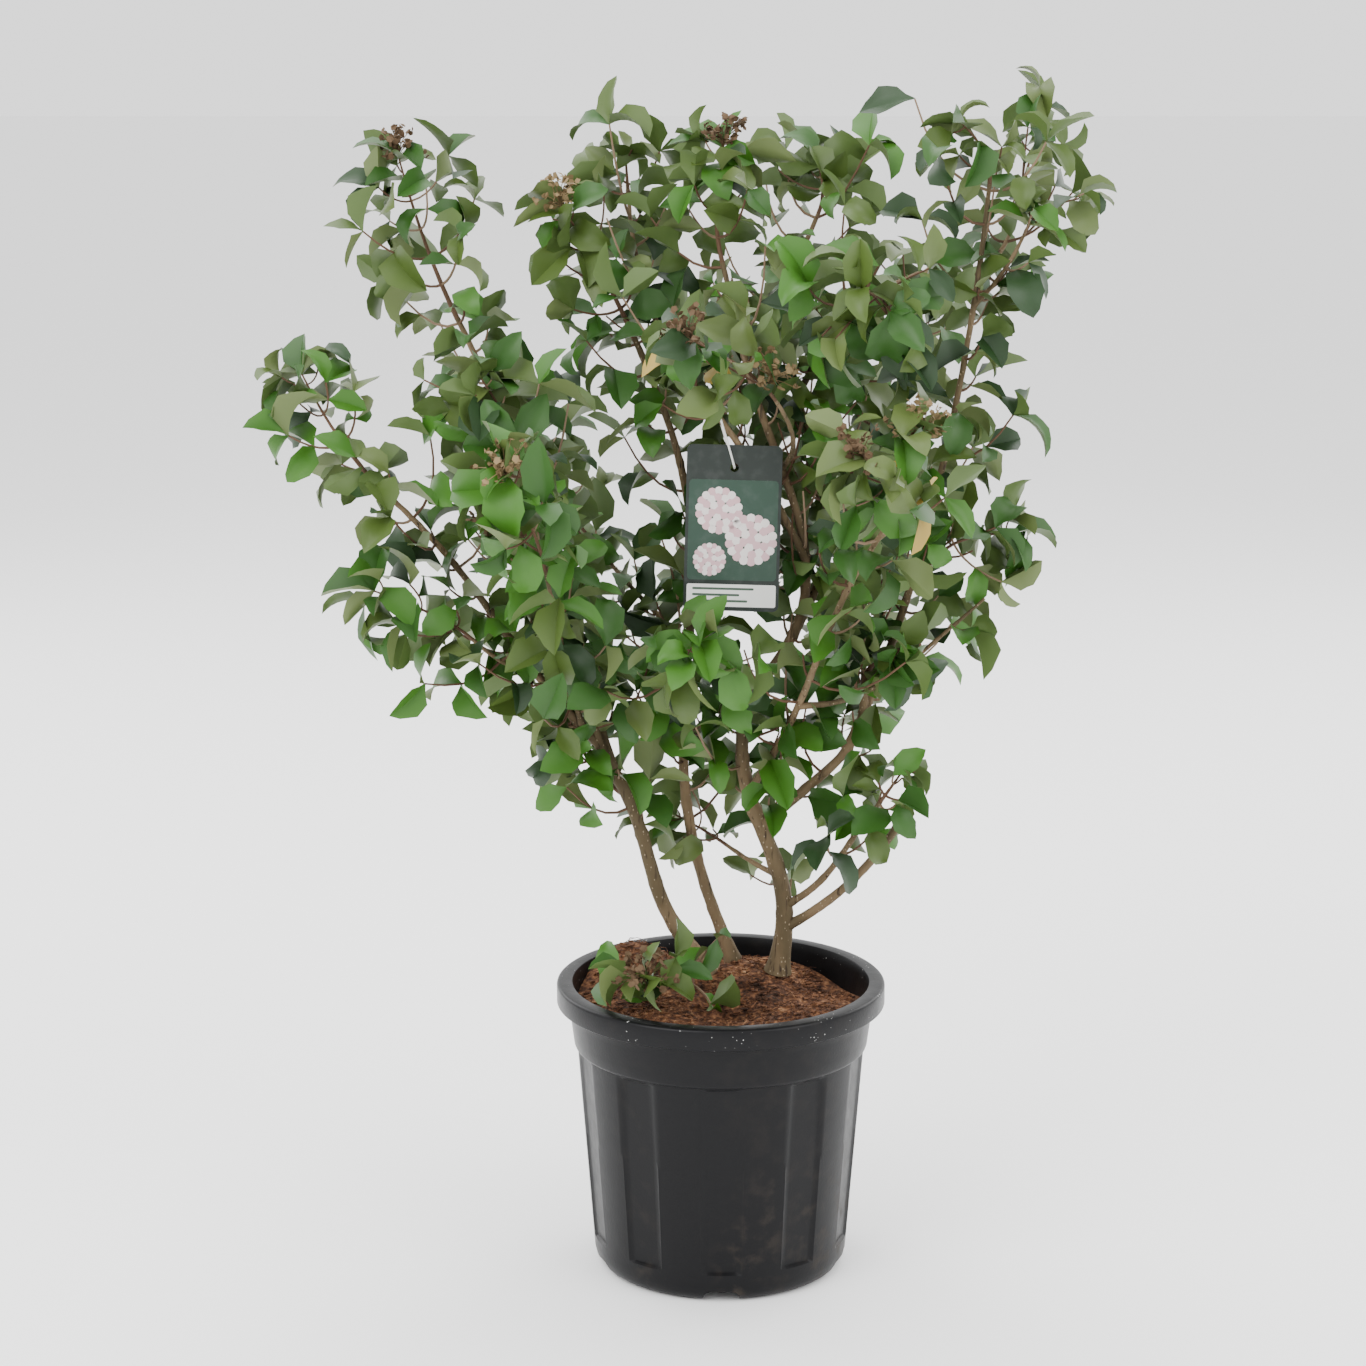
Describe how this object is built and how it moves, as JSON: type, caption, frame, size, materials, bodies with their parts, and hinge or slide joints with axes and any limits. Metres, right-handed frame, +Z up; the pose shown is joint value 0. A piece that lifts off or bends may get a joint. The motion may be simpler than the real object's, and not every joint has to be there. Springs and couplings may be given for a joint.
{
  "type": "potted snowball shrub",
  "caption": "Leafy open-branched snowball shrub on several trunks, in a round fluted black nursery pot filled with coir mulch, with a hanging plant tag.",
  "frame": {"origin": "centre of the pot's flat underside", "axes": "+Z is up along the pot's axis; the side of the shrub in the picture faces -Y, and +X is to the right there"},
  "size_m": [0.8274, 0.6664, 1.1942],
  "materials": {
    "pot_plastic": "satin black",
    "coir_mulch": "loose fibrous mulch",
    "bark": "thin bark with lenticels",
    "foliage": "soft matte leaves",
    "label_print": "printed plastic",
    "strap_plastic": "smooth white"
  },
  "bodies": {
    "root": {"pot": "pot_plastic", "soil": "coir_mulch", "trunk_right": "bark", "trunk_left": "bark", "trunk_mid": "bark", "centre": "bark", "far_left": "bark", "upper_left": "bark", "left_mid": "bark", "left_front": "bark", "left_low": "bark", "centre_top": "bark", "centre_right": "bark", "right_front": "bark", "right_back": "bark", "right_fork": "bark", "right_top": "bark", "right_peak": "bark", "right_tip": "bark", "right_long": "bark", "right_bare": "bark", "right_mid_back": "bark", "right_sprigs": "bark", "stub": "bark", "low_right": "bark", "inner_low": "bark", "centre_low": "bark", "back_left": "bark", "back_centre": "bark", "centre_front": "bark", "label": "label_print", "label_strap": "strap_plastic", "leaves_far_left": "foliage", "leaves_left_low": "foliage", "leaves_left_front": "foliage", "leaves_upper_left": "foliage", "leaves_left_mid": "foliage", "leaves_centre_left": "foliage", "leaves_centre_top": "foliage", "leaves_crown": "foliage", "leaves_centre_front": "foliage", "leaves_centre_right": "foliage", "leaves_right_front": "foliage", "leaves_right_back": "foliage", "leaves_right_top": "foliage", "leaves_right_peak": "foliage", "leaves_right_tip": "foliage", "leaves_right_mid_front": "foliage", "leaves_right_mid_back": "foliage", "leaves_right_sprigs": "foliage", "leaves_right_low": "foliage", "leaves_low_right": "foliage", "leaves_centre_low": "foliage", "leaves_left_droop": "foliage", "leaves_inner_low": "foliage", "leaves_base_sprig": "foliage", "leaves_back_left": "foliage", "leaves_back_centre": "foliage"}
  },
  "joints": []
}
